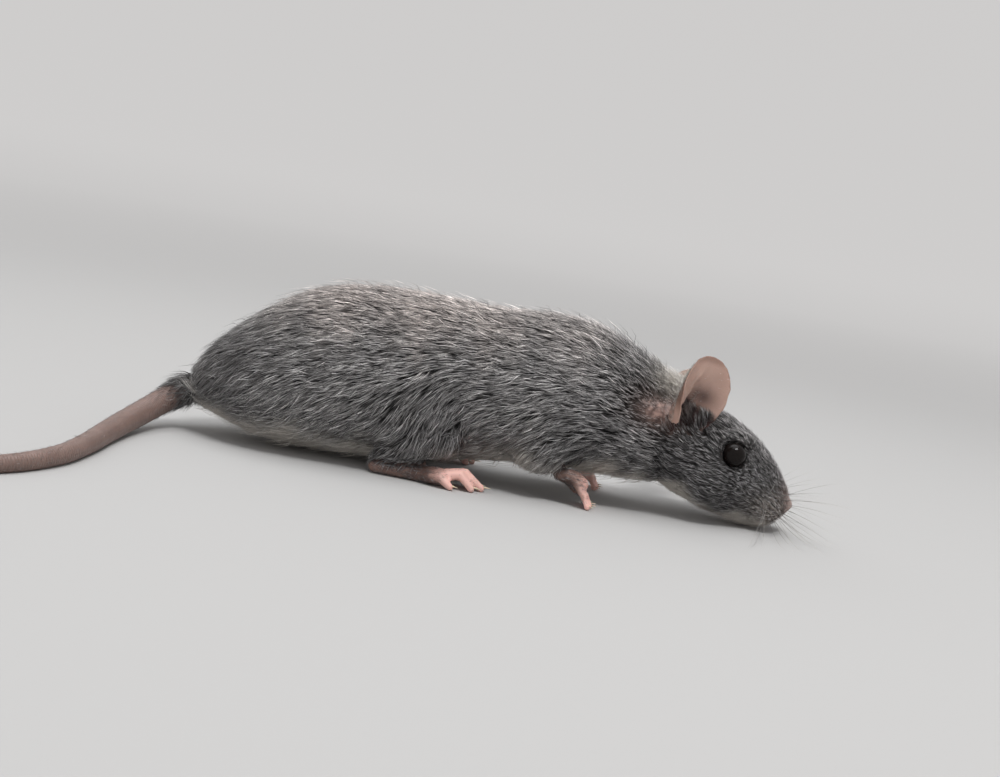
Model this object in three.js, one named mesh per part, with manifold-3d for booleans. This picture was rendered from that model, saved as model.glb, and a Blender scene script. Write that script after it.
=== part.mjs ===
// A life-size grey house mouse, crouched low with its neck stretched out and its tail laid on the ground.
// Millimetres, +Z up. The mouse faces +X and its right side faces -Y. The ground is Z = 0.
// The surface stands for the tips of the coat; bare parts (ears, feet, tail) are their own size.
import * as THREE from "three";
import { mergeVertices } from "three/addons/utils/BufferGeometryUtils.js";
import Module from "manifold-3d";

const wasm = await Module();
wasm.setup();

// ---- driving dimensions ----
const GAP = 0.3; // between neighbouring parts, so that they meet with no overlap
const SOLE_DEPTH = 0.12; // how far feet and tail would sink below the ground before their flats are cut
const EYE = { centre: [35.5, -5.35, 11.0], radius: 1.8 }; // the right one
const EAR = {
  length: 13.3,
  halfWidth: 6.3,
  thickness: 0.6,
  frontShare: 0.8, // its front half is narrower than its hind half
  base: [25.9, -5.6, 12.4], // of the right ear
  forward: { right: 0.32, left: 0.4 },
  outward: { right: 0.3, left: 0.74 }, // the left ear is laid further out
  roll: [1.2, 0.5], // how far its edges turn in, at the root and at the tip, in radians
  curl: [2.1, 0.3], // how much further the hind edge turns
  bendBack: 1.6, // how far the tip bends back
};
const TAIL = { baseRadius: 2.0, tipRadius: 0.5, lengths: ["tail_root", "tail_fore", "tail_mid", "tail_tip"] };
const TOE_RADII = [0.95, 0.84, 0.6]; // from root to tip
const FINGER_RADII = [0.75, 0.73, 0.57];
const LEFT_STEP = { hind: -2.2, fore: 1.8 }; // the left feet stand this far along X from the right ones

// Stations along the body, from tail to nose: where the section's top and bottom lie in the
// side view (x, z), and half its width. The sections in between are smooth curves.
const BODY_STATIONS = [
  { name: "tail root", top: [-46.4, 8.2], bottom: [-45.9, 4.0], halfWidth: 2.1 },
  { name: "rump end", top: [-44.6, 11.9], bottom: [-43.4, 3.6], halfWidth: 4.9 },
  { name: "rump", top: [-40.7, 16.1], bottom: [-39.1, 2.3], halfWidth: 8.6 },
  { name: "croup", top: [-36.4, 19.8], bottom: [-34.5, 0.95], halfWidth: 11.2 },
  { name: "hip", top: [-30.1, 24.0], bottom: [-28.8, 0.55], halfWidth: 12.6 },
  { name: "haunch", top: [-22.7, 25.9], bottom: [-21.8, 0.6], halfWidth: 12.8 },
  { name: "loin", top: [-14.7, 26.4], bottom: [-13.5, 1.1], halfWidth: 12.2 },
  { name: "belly", top: [-6.6, 26.2], bottom: [-5.4, 2.4], halfWidth: 11.6 },
  { name: "ribs", top: [0.9, 26.2], bottom: [2, 3.5], halfWidth: 10.9 },
  { name: "chest", top: [7.8, 26.8], bottom: [9.5, 3.7], halfWidth: 10.2 },
  { name: "shoulder", top: [13.7, 25.8], bottom: [15.7, 4.1], halfWidth: 9.5 },
  { name: "neck base", top: [18.2, 24.1], bottom: [20.3, 4.1], halfWidth: 8.6 },
  { name: "neck", top: [22.6, 21.9], bottom: [24.6, 3.9], halfWidth: 7.9 },
  { name: "nape", top: [27.3, 19.3], bottom: [28.8, 2.8], halfWidth: 7.6 },
  { name: "crown", top: [32, 17.5], bottom: [32.6, 1.55], halfWidth: 7.3 },
  { name: "brow", top: [36.7, 15.4], bottom: [36.3, 0.85], halfWidth: 6.3 },
  { name: "bridge", top: [40.4, 12.7], bottom: [39.5, 0.45], halfWidth: 5.0 },
  { name: "muzzle", top: [43, 9.9], bottom: [42.3, 0.6], halfWidth: 3.8 },
  { name: "snout", top: [44.9, 7], bottom: [44.4, 1.6], halfWidth: 2.6 },
  { name: "nose", top: [46.3, 4.9], bottom: [45.9, 3.1], halfWidth: 1.3 },
];
const BODY_GRID = { sides: 20, rings: 31 };
const BELLY_SAG = 0.13; // how far the widest line of a section sits below its middle
const CUTS = { neckToTrunk: { at: [18.2, 13.4], lean: -10 }, headToNeck: { at: [25.4, 11.4], lean: -8 } };

const PALETTE = {
  coat: { color: 0x6d6966, roughness: 0.85 },
  ear: { color: 0x9c7a6e, roughness: 0.6 },
  foot: { color: 0xd3a097, roughness: 0.55 },
  tail: { color: 0x7d6560, roughness: 0.65 },
  eye: { color: 0x0c0a0a, roughness: 0.05 },
};

// ---- solids ----
const { lerp, clamp, degToRad } = THREE.MathUtils;
const vec = (p) => new THREE.Vector3(...p);
const curveThrough = (points) => new THREE.CatmullRomCurve3(points.map(vec), false, "catmullrom", 0.5);

// A closed geometry as a manifold-3d solid, for cuts and joins.
function toSolid(geometry) {
  const bare = new THREE.BufferGeometry()
    .setAttribute("position", geometry.getAttribute("position"))
    .setIndex(geometry.index);
  const merged = mergeVertices(bare, 1e-4);
  return new wasm.Manifold(
    new wasm.Mesh({
      numProp: 3,
      vertProperties: merged.attributes.position.array,
      triVerts: new Uint32Array(merged.index.array),
    }),
  );
}

function toGeometry(solid) {
  const { vertProperties, triVerts } = solid.getMesh();
  const geometry = new THREE.BufferGeometry()
    .setAttribute("position", new THREE.BufferAttribute(vertProperties, 3))
    .setIndex(new THREE.BufferAttribute(triVerts, 1));
  geometry.computeVertexNormals();
  return geometry;
}

// A cut can leave crumbs; the part is the largest piece.
const largest = (solid) => solid.decompose().reduce((a, b) => (b.volume() > a.volume() ? b : a));
const join = (solids) => solids.reduce((a, b) => a.add(b));

// A closed skin of rings: place(angle, along) gives the points of a ring, ends the two poles.
function ringSurface(sides, rings, place, ends) {
  const geometry = new THREE.SphereGeometry(1, sides, rings + 1);
  const { position, uv } = geometry.attributes;
  for (let i = 0; i < position.count; i++) {
    const row = Math.round((1 - uv.getY(i)) * (rings + 1));
    const angle = 2 * Math.PI * uv.getX(i);
    const point = row === 0 ? ends[0] : row === rings + 1 ? ends[1] : place(angle, (row - 1) / (rings - 1));
    position.setXYZ(i, point.x, point.y, point.z);
  }
  return geometry;
}

// A limb or a length of tail: a bent round rod with a radius that changes along it.
// [from, to] takes a stretch of the path, grow thickens it all round, domeRows rounds its ends.
function rod({ path, radii, sides = 9, rings = 6, grow = 0, from = 0, to = 1, flatten = 1, domeRows = 2 }) {
  const line = curveThrough(path);
  const radius = curveThrough(radii.map((r) => [r, 0, 0]));
  const total = rings + 2 * domeRows;
  const section = (row) => {
    const pastStart = Math.min(row - domeRows, 0);
    const pastEnd = Math.max(row - (total - 1 - domeRows), 0);
    const bend = ((pastStart + pastEnd) / (domeRows + 1)) * (Math.PI / 2);
    const u = lerp(from, to, clamp((row - domeRows) / (rings - 1), 0, 1));
    const r = radius.getPoint(u).x + grow;
    const tangent = line.getTangent(u);
    const side = new THREE.Vector3(0, 0, 1).cross(tangent).normalize();
    const up = tangent.clone().cross(side);
    const centre = line.getPoint(u).addScaledVector(tangent, Math.sin(bend) * (domeRows ? r : grow));
    return { centre, side, up, r: r * Math.cos(bend) };
  };
  const place = (angle, t) => {
    const { centre, side, up, r } = section(Math.round(t * (total - 1)));
    return centre.addScaledVector(side, Math.sin(angle) * r).addScaledVector(up, Math.cos(angle) * r * flatten);
  };
  const ends = [section(-1).centre, section(total).centre];
  return toSolid(ringSurface(sides, total, place, ends));
}

function ellipsoid(centre, radii, grow = 0, sides = 10, rings = 8) {
  const geometry = new THREE.SphereGeometry(1, sides, rings);
  geometry.scale(...radii.map((r) => r + grow)).translate(...centre);
  return toSolid(geometry);
}

// A slab as thin as the gap, square to the spine where one part ends and the next begins.
function slab({ at, lean }) {
  const geometry = new THREE.BoxGeometry(GAP, 60, 60);
  geometry.rotateY(degToRad(lean)).translate(at[0], 0, at[1]);
  return toSolid(geometry);
}

function aboveGround(solid) {
  const ground = new THREE.BoxGeometry(400, 400, 10).translate(0, 0, -5);
  return solid.subtract(toSolid(ground));
}

const otherSide = ([x, y, z], step = 0) => [x + step, -y, z];

// ---- body, from tail root to nose ----
function bodyShape() {
  const tops = curveThrough(BODY_STATIONS.map(({ top }) => [top[0], 0, top[1]]));
  const bottoms = curveThrough(BODY_STATIONS.map(({ bottom }) => [bottom[0], 0, bottom[1]]));
  const widths = curveThrough(BODY_STATIONS.map(({ halfWidth }) => [halfWidth, 0, 0]));
  const place = (angle, along) => {
    const top = tops.getPoint(along);
    const bottom = bottoms.getPoint(along);
    const rise = Math.cos(angle);
    const point = bottom.lerp(top, (1 + rise) / 2);
    point.y = widths.getPoint(along).x * Math.sin(angle) * (1 - BELLY_SAG * rise);
    return point;
  };
  const middle = (along, outwards) => place(0, along).lerp(place(Math.PI, along), 0.5).add(vec([outwards, 0, 0]));
  return toSolid(ringSurface(BODY_GRID.sides, BODY_GRID.rings, place, [middle(0, 0), middle(1, 0.5)]));
}

// Cheeks, whisker pads and brows stand out of the smooth body on both sides of the head.
function headForms() {
  const forms = [
    { name: "whisker pad", centre: [41.9, -2.4, 4.0], radii: [2.9, 2.4, 3.1] },
    { name: "cheek", centre: [32.4, -4.1, 7.0], radii: [5.2, 3.8, 4.8] },
    { name: "brow", centre: [35.8, -3.7, 13.2], radii: [3.1, 2.1, 1.6] },
  ];
  return forms.flatMap(({ centre, radii }) => [ellipsoid(centre, radii), ellipsoid(otherSide(centre), radii)]);
}

// ---- ears: a thin leaf rolled into a scoop, its hind edge curled furthest round ----
function ear(sideName, grow = 0) {
  const side = sideName === "right" ? -1 : 1;
  const base = vec([EAR.base[0], -side * EAR.base[1], EAR.base[2]]);
  const outward = EAR.outward[sideName];
  const forward = EAR.forward[sideName];
  const up = vec([forward, side * outward, Math.sqrt(1 - forward ** 2 - outward ** 2)]);
  const facing = vec([0.42, side * 0.9, 0]);
  facing.addScaledVector(up, -facing.dot(up)).normalize();
  const across = vec([1, 0, 0]).addScaledVector(up, -up.x);
  across.addScaledVector(facing, -across.dot(facing)).normalize();

  // Angle of the leaf at q, from -1 at its hind edge to 1 at its front edge, v of the way up.
  // Near the root, where the leaf is narrow, it's hardly rolled.
  const turn = (q, v) => {
    const curl = Math.pow(clamp((-q - 0.3) / 0.7, 0, 1), 1.2);
    const narrow = Math.min(1, 3 * Math.sqrt(v * (1 - v)));
    return narrow * (lerp(...EAR.roll, v) * q - lerp(...EAR.curl, v) * curl);
  };
  const geometry = new THREE.SphereGeometry(1, 16, 12);
  const { position } = geometry.attributes;
  for (let i = 0; i < position.count; i++) {
    const [x, y, z] = [position.getX(i), position.getY(i), position.getZ(i)];
    const along = (y + 1) / 2;
    const reach = Math.sqrt(Math.max(1 - y * y, 1e-9));
    const q = clamp(x / reach, -1, 1);
    const halfWidth = reach * EAR.halfWidth * lerp(0.85, 1.1, along) * (q > 0 ? EAR.frontShare : 1);
    const steps = 12;
    let [aside, ahead] = [0, 0];
    for (let k = 0; k < steps; k++) {
      const angle = turn((q * (k + 0.5)) / steps, along);
      aside += (Math.cos(angle) * q * halfWidth) / steps;
      ahead += (Math.sin(angle) * q * halfWidth) / steps;
    }
    const layer = Math.sign(z) * Math.sqrt(Math.abs(z)) * (EAR.thickness / 2 + grow);
    const angle = turn(q, along);
    const point = base.clone().addScaledVector(up, along * EAR.length + y * grow);
    point.addScaledVector(across, aside + x * grow * Math.cos(angle) - layer * Math.sin(angle));
    point.addScaledVector(facing, ahead + x * grow * Math.sin(angle) + layer * Math.cos(angle));
    point.addScaledVector(facing, -EAR.bendBack * along * along);
    position.setXYZ(i, point.x, point.y, point.z);
  }
  if (side > 0) geometry.index.array.reverse();
  return toSolid(geometry);
}

function eye(side, grow = 0) {
  const [x, y, z] = EYE.centre;
  return ellipsoid([x, -side * y, z], [EYE.radius, EYE.radius, EYE.radius], grow, 12, 8);
}

// ---- legs: all points are for the right side, whose Y is negative ----
const placed = (points, side, step) => points.map((p) => (side < 0 ? p : otherSide(p, step)));

function limb(shapes, side, step, grow) {
  return join(shapes.map((shape) => rod({ ...shape, path: placed(shape.path, side, step), grow })));
}

function digits(toes, radii, side, step, grow) {
  return limb(toes.map((path) => ({ path, radii, sides: 6, rings: 3, domeRows: 1 })), side, step, grow);
}

function hindLeg(side, grow = 0) {
  const thigh = {
    path: [[-26.5, -7.2, 13], [-18, -7.3, 11.8], [-11.5, -8.4, 9.4], [-7.4, -9.6, 7.2]],
    radii: [5.4, 5.7, 4.6, 3.0],
    flatten: 1.3,
    sides: 12,
    rings: 5,
  };
  const shank = {
    path: [[-7.4, -9.6, 6.2], [-11.8, -9.7, 4.4], [-15.6, -9.7, 2.9]],
    radii: [2.9, 2.3, 1.5],
    rings: 3,
  };
  return limb([thigh, shank], side, side < 0 ? 0 : LEFT_STEP.hind, grow);
}

function hindFoot(side, grow = 0) {
  const step = side < 0 ? 0 : LEFT_STEP.hind;
  const sole = {
    path: [[-15.6, -9.6, 1.05], [-11, -10.1, 1.0], [-6.8, -10.7, 1.25]],
    radii: [1.35, 1.3, 1.65],
    rings: 5,
    flatten: 0.85,
  };
  const tipHeight = TOE_RADII[2] - SOLE_DEPTH;
  const toes = [
    [[-8.4, -9.4, 0.9], [-6.6, -8.6, 1.2], [-5.2, -8.1, tipHeight]],
    [[-6.6, -9.8, 1.4], [-3.1, -9.2, 2.1], [-1.1, -8.9, tipHeight]],
    [[-6.4, -10.7, 1.5], [-2.7, -10.5, 2.3], [-0.2, -10.4, tipHeight]],
    [[-6.6, -11.6, 1.4], [-3.4, -11.8, 2.2], [-1.6, -12, tipHeight]],
    [[-8.2, -11.6, 1.0], [-6.2, -12.6, 1.5], [-4.6, -13.2, tipHeight]],
  ];
  return limb([sole], side, step, grow).add(digits(toes, TOE_RADII, side, step, grow));
}

function foreLeg(side, grow = 0) {
  const arm = {
    path: [[12.6, -5.9, 12.6], [9.2, -6.9, 9.4], [6.2, -7.5, 6.5]],
    radii: [4.2, 3.8, 2.7],
    flatten: 1.2,
    rings: 4,
  };
  const forearm = { path: [[6, -7.5, 6], [8, -7.8, 5.2], [10.2, -8, 4.5]], radii: [2.5, 2.0, 1.35], rings: 3 };
  return limb([arm, forearm], side, side < 0 ? 0 : LEFT_STEP.fore, grow);
}

// The forefoot stands on its fingertips: the palm is held up and the fingers reach down from it.
function forePaw(side, grow = 0) {
  const step = side < 0 ? 0 : LEFT_STEP.fore;
  const palm = {
    path: [[10.6, -8, 4.2], [12.4, -8.1, 4.1], [13.9, -8.2, 3.4]],
    radii: [1.15, 1.45, 1.3],
    rings: 4,
    flatten: 0.85,
  };
  const fingers = [-1.15, -0.4, 0.4, 1.15].map((offset) => {
    const short = 0.45 * Math.abs(offset);
    return [
      [13.4, -8.2 + 0.8 * offset, 3.4],
      [14.8 - short, -8.2 + 1.25 * offset, 2.9],
      [15.0 - short, -8.2 + 1.5 * offset, 1.2],
      [15.8 - short, -8.2 + 1.75 * offset, FINGER_RADII[2] - SOLE_DEPTH],
    ];
  });
  const thumb = [[12, -6.9, 3.4], [13, -6.4, 2.6], [13.5, -6.2, 1.9]];
  return limb([palm], side, step, grow).add(digits([thumb, ...fingers], FINGER_RADII, side, step, grow));
}

// ---- tail: leaves the rump, comes down to the ground and curls away along it ----
const tailRadius = (u) => lerp(TAIL.baseRadius, TAIL.tipRadius, Math.pow(u, 1.2));

function tailPath() {
  const plan = [
    [-45, 0, 6.6], [-47.6, -2.2, 5.0], [-49.9, -7.2, 3.1], [-51.2, -14.4, 1.95], [-51.6, -22.6], [-51.5, -31.2],
    [-52.3, -40], [-55.8, -48.3], [-62.4, -54.6], [-70.8, -58], [-79.6, -58.4], [-87.8, -56],
  ];
  return plan.map(([x, y, z], i) => [x, y, z ?? tailRadius(i / (plan.length - 1)) - SOLE_DEPTH]);
}

function tailLength(index, grow = 0) {
  const path = tailPath();
  const radii = path.map((_, i) => tailRadius(i / (path.length - 1)));
  const share = 1 / TAIL.lengths.length;
  const gapShare = index === 0 ? 0 : GAP / 92; // the tail is about 92 mm long
  return rod({
    path,
    radii,
    grow,
    from: index * share + gapShare,
    to: (index + 1) * share,
    rings: 8,
    domeRows: 0,
  });
}

// ---- the whole mouse ----
function mouseParts() {
  const parts = new Map();
  const sockets = [tailLength(0, GAP)];
  for (const [sideName, side] of [["right", -1], ["left", 1]]) {
    parts.set(`eye_${sideName}`, { solid: eye(side), look: "eye" });
    parts.set(`ear_${sideName}`, { solid: ear(sideName), look: "ear" });
    const shin = largest(hindLeg(side).subtract(hindFoot(side, GAP)));
    const arm = largest(foreLeg(side).subtract(forePaw(side, GAP)));
    parts.set(`hindfoot_${sideName}`, { solid: aboveGround(hindFoot(side)), look: "foot" });
    parts.set(`hindleg_${sideName}`, { solid: shin, look: "coat" });
    parts.set(`forepaw_${sideName}`, { solid: aboveGround(forePaw(side)), look: "foot" });
    parts.set(`foreleg_${sideName}`, { solid: arm, look: "coat" });
    sockets.push(eye(side, GAP), ear(sideName, GAP), hindLeg(side, GAP), foreLeg(side, GAP));
    sockets.push(hindFoot(side, GAP), forePaw(side, GAP));
  }
  TAIL.lengths.forEach((name, i) => parts.set(name, { solid: aboveGround(tailLength(i)), look: "tail" }));

  let body = join([bodyShape(), ...headForms()]);
  for (const cutter of [...sockets, slab(CUTS.neckToTrunk), slab(CUTS.headToNeck)]) body = body.subtract(cutter);
  const [trunk, neck, head] = body
    .decompose()
    .sort((a, b) => b.volume() - a.volume())
    .slice(0, 3)
    .sort((a, b) => a.boundingBox().min[0] - b.boundingBox().min[0]);
  parts.set("trunk", { solid: trunk, look: "coat" });
  parts.set("neck", { solid: neck, look: "coat" });
  parts.set("head", { solid: head, look: "coat" });
  return parts;
}

const mouse = new THREE.Group();
for (const [name, { solid, look }] of mouseParts()) {
  const material = new THREE.MeshStandardMaterial({ ...PALETTE[look], metalness: 0 });
  const mesh = new THREE.Mesh(toGeometry(solid), material);
  mesh.name = name;
  mouse.add(mesh);
}

// The origin is the middle of the footprint, on the ground.
const box = new THREE.Box3().setFromObject(mouse);
const footprint = box.getCenter(new THREE.Vector3()).setZ(box.min.z);
mouse.position.copy(footprint).negate();

export default mouse;
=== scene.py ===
import math
import bpy
import bmesh
import numpy as np
from mathutils import Matrix, Vector
from mathutils.bvhtree import BVHTree
from mathutils.kdtree import KDTree


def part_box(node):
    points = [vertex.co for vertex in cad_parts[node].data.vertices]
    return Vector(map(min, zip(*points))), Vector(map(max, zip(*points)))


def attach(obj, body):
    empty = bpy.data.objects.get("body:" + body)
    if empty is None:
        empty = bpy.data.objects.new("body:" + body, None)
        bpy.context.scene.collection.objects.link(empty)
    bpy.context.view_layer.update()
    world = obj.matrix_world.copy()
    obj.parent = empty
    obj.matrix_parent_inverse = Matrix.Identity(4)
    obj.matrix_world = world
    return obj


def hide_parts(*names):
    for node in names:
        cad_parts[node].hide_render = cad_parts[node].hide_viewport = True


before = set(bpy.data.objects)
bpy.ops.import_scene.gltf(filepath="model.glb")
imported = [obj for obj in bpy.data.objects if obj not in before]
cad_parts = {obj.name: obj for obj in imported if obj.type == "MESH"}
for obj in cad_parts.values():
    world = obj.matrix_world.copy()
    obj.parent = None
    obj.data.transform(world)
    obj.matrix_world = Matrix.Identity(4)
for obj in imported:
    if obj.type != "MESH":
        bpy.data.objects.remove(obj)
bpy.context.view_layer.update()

# A grey house mouse, crouched low with its neck stretched out. Plan coordinates are millimetres with
# the nose towards +X, the right side towards -Y and the floor at Z = 0. The right eye ties them to the frame.
mm = 0.001
eyePlan = {"centre": (35.5, -5.35, 11.0), "radius": 1.8}
sides = {"right": -1, "left": 1}
eyeLow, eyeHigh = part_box("eye_right")
planOrigin = (eyeLow + eyeHigh) / 2 - Vector(eyePlan["centre"]) * mm
originMm = np.array(planOrigin) / mm
fleshNodes = sorted(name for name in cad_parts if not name.startswith("eye_"))
fleshKinds = ["trunk", "neck", "head", "ear", "leg", "foot", "tail"]
kindIndex = {kind: index for index, kind in enumerate(fleshKinds)}

# The middle line of the body from tail root to nose, as x and z.
spineLine = np.array([(-46.2, 6.1), (-39.9, 9.2), (-29.5, 12.3), (-14.1, 13.8), (1.5, 14.8),
                      (14.7, 15.0), (23.6, 12.9), (32.3, 9.5), (40.0, 6.6), (46.1, 4.0)])
# The tail, laid out as in the solids: a place with no height lies on the ground.
tailPlan = {
    "places": [(-45, 0, 6.6), (-47.6, -2.2, 5.0), (-49.9, -7.2, 3.1), (-51.2, -14.4, 1.95), (-51.6, -22.6),
               (-51.5, -31.2), (-52.3, -40), (-55.8, -48.3), (-62.4, -54.6), (-70.8, -58), (-79.6, -58.4),
               (-87.8, -56)],
    "rootRadius": 2.0,
    "tipRadius": 0.5,
    "sunk": 0.12,
    "steps": 40,  # between two places
}


def at(x, y, z):
    return planOrigin + Vector((x, y, z)) * mm


def toPlan(metres):
    return np.asarray(metres, dtype=np.float64) / mm - originMm


def fromPlan(plan):
    return (np.asarray(plan) + originMm) * mm


def shareOf(weights, kind):
    # How far each point belongs to one kind of skin, from 0 to 1.
    return weights[:, kindIndex[kind]]


def sharesOf(weights, *kinds):
    return [shareOf(weights, kind) for kind in kinds]


def blendKinds(weights, table):
    return weights @ np.array([table[kind] for kind in fleshKinds])


def smoothStep(low, high, value):
    t = np.clip((value - low) / (high - low), 0.0, 1.0)
    return t * t * (3 - 2 * t)


def unit(vectors):
    return vectors / np.maximum(np.linalg.norm(vectors, axis=-1, keepdims=True), 1e-9)


def bump(points, centre, radii):
    offset = (points - np.array(centre)) / np.array(radii)
    return np.exp(-np.sum(offset * offset, axis=1))


def mirrored(point, side):
    return (point[0], side * abs(point[1]), point[2])


def eyeCentre(side):
    return np.array(mirrored(eyePlan["centre"], side))


def aroundEyes(points, size):
    return sum(bump(points, eyeCentre(side), size) for side in sides.values())


def linkObject(name, data):
    piece = bpy.data.objects.new(name, data)
    bpy.context.scene.collection.objects.link(piece)
    return piece


def meshFromBmesh(name, bm):
    mesh = bpy.data.meshes.new(name)
    bm.to_mesh(mesh)
    bm.free()
    mesh.shade_smooth()
    return mesh


def applyModifiers(piece):
    evaluated = piece.evaluated_get(bpy.context.evaluated_depsgraph_get())
    mesh = bpy.data.meshes.new_from_object(evaluated)
    piece.modifiers.clear()
    old = piece.data
    piece.data = mesh
    bpy.data.meshes.remove(old)


def vertexArray(mesh, source="vertices", field="co"):
    values = np.empty(len(mesh.vertices) * 3, dtype=np.float32)
    getattr(mesh, source).foreach_get(field, values)
    return values.reshape(-1, 3).astype(np.float64)


def normalArray(mesh):
    return vertexArray(mesh, "vertex_normals", "vector")


def setVertexArray(mesh, metres):
    mesh.vertices.foreach_set("co", np.ascontiguousarray(metres, dtype=np.float32).ravel())
    mesh.update()


def addColour(mesh, name, columns):
    colour = mesh.attributes.new(name, "FLOAT_COLOR", "POINT")
    values = np.ones((len(mesh.vertices), 4), dtype=np.float32)
    for index, column in enumerate(columns):
        values[:, index] = column
    colour.data.foreach_set("color", values.ravel())


def edgePairs(mesh):
    pairs = np.empty(len(mesh.edges) * 2, dtype=np.int32)
    mesh.edges.foreach_get("vertices", pairs)
    return pairs.reshape(-1, 2)


def spread(values, pairs, rounds, share=0.5):
    counts = np.bincount(pairs.ravel(), minlength=len(values)).astype(np.float64)
    counts = np.maximum(counts, 1)
    for _ in range(rounds):
        for column in range(values.shape[1]):
            total = np.bincount(pairs[:, 0], weights=values[pairs[:, 1], column], minlength=len(values))
            total += np.bincount(pairs[:, 1], weights=values[pairs[:, 0], column], minlength=len(values))
            values[:, column] += share * (total / counts - values[:, column])
    return values


# The skin is one surface over all the flesh.
skinPlan = {
    "bridge": 0.2,  # mm that each solid grows, so that they close up
    "earBridge": 0.06,
    "voxel": 0.2,
    "bodyRounds": 40,  # smoothing of the furred parts
    "fineRounds": 4,  # and of the bare ones
    "triangles": 112000,
    # how readily each kind of skin gives up triangles
    "thinning": {"trunk": 0.7, "neck": 0.7, "head": 0.3, "ear": 0.4, "leg": 0.6, "foot": 0.3, "tail": 0.5},
    "thinningFactor": 2.0,
    # mm of coat over each
    "coat": {"trunk": 1.25, "neck": 1.35, "head": 0.75, "ear": 0.0, "leg": 0.65, "foot": 0.0, "tail": 0.0},
    "noseThinner": 0.62,  # how much thinner the coat gets towards the nose
    "eyeThinner": 0.8,
    "earRootThinner": 0.75,
}


def kindOf(node):
    for kind in ("trunk", "neck", "head", "ear", "tail"):
        if node.startswith(kind):
            return kind
    return "leg" if "leg" in node else "foot"


def flowOutFlesh(name):
    grown = bmesh.new()
    for node in fleshNodes:
        bm = bmesh.new()
        bm.from_mesh(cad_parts[node].data)
        bmesh.ops.remove_doubles(bm, verts=bm.verts, dist=1e-6)
        bmesh.ops.recalc_face_normals(bm, faces=bm.faces)
        bm.normal_update()
        reach = skinPlan["earBridge"] if kindOf(node) == "ear" else skinPlan["bridge"]
        for vertex in bm.verts:
            vertex.co += vertex.normal * reach * mm
        scratch = bpy.data.meshes.new("scratch")
        bm.to_mesh(scratch)
        bm.free()
        grown.from_mesh(scratch)
        bpy.data.meshes.remove(scratch)
    return linkObject(name, meshFromBmesh(name, grown))


def fleshSurface():
    points, triangles, kinds = [], [], []
    for node in fleshNodes:
        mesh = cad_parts[node].data
        mesh.calc_loop_triangles()
        start = len(points)
        points.extend(vertex.co.copy() for vertex in mesh.vertices)
        for triangle in mesh.loop_triangles:
            triangles.append(tuple(start + index for index in triangle.vertices))
            kinds.append(kindIndex[kindOf(node)])
    return BVHTree.FromPolygons(points, triangles), np.array(kinds)


def kindWeights(mesh, rounds):
    tree, kinds = fleshSurface()
    weights = np.zeros((len(mesh.vertices), len(fleshKinds)))
    for vertex in mesh.vertices:
        weights[vertex.index, kinds[tree.find_nearest(vertex.co)[2]]] = 1.0
    # Thigh and upper arm wear the same coat as the trunk.
    upper = shareOf(weights, "leg") * smoothStep(4.5, 8.0, toPlan(vertexArray(mesh))[:, 2])
    weights[:, kindIndex["leg"]] -= upper
    weights[:, kindIndex["trunk"]] += upper
    return spread(weights, edgePairs(mesh), rounds)


def noseShare(points):
    return smoothStep(33.0, 45.0, points[:, 0])


def toeShare(points):
    x = points[:, 0]
    return np.where(x < 4, smoothStep(-8.5, -4.5, x), smoothStep(13.0, 15.2, x))


placePlan = {
    # centre and size of soft-edged patches; one that lies off the middle is on both sides
    "noseTip": ((46.3, 0, 4.1), (2.2, 2.2, 2.3)),
    "noseSkin": ((46.2, 0, 4.2), (3.2, 2.8, 3.0)),
    "hairlessNose": ((46.5, 0, 4.0), (1.9, 2.0, 1.9)),
    "whiskerPad": ((42.3, 0, 3.2), (3.2, 1, 2.5)),
    "nape": ((18, 0, 24), (9, 8, 5)),
    "earFold": ((23.9, 7.5, 15.8), (3.6, 3.4, 2.6)),  # thinly haired skin behind and below each ear
    "napePatch": ((26.2, 3.2, 19.0), (2.9, 3.0, 2.6)),  # light, raised hair behind the ears
    "earFront": ((26.5, 6.5, 14.5), (3.2, 3.5, 4.0)),
    "chest": ((4, 9, 4.8), (4.6, 5, 2.4)),
    "shoulder": ((17, 9, 10), (9, 7, 6)),
    "flank": ((-6, 12, 9), (8.5, 8, 5)),
    "knee": ((-8.5, 12, 9.5), (5.5, 6, 6.0)),
    "elbow": ((7.5, 10, 8.0), (4.5, 5, 4.5)),
    "belowThigh": ((-20, 11, 7), (8, 5, 4.5)),
}


def patchOn(points, name, side, reach=1.0):
    centre, size = placePlan[name]
    return bump(points, mirrored(centre, side), tuple(reach * value for value in size))


def earRoot(points, reach=1.0):
    return sum(patchOn(points, "earFold", side, reach) for side in sides.values())


def napePatch(points):
    return sum(patchOn(points, "napePatch", side) for side in sides.values())


def coatDepth(points, weights):
    depth = blendKinds(weights, skinPlan["coat"])
    headShare = shareOf(weights, "head")
    depth -= headShare * skinPlan["noseThinner"] * noseShare(points)
    for side in sides.values():
        depth *= 1 - skinPlan["eyeThinner"] * bump(points, eyeCentre(side), 3.0)
    depth *= 1 - skinPlan["earRootThinner"] * earRoot(points)
    return np.clip(depth, 0.0, 3.0)


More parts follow.
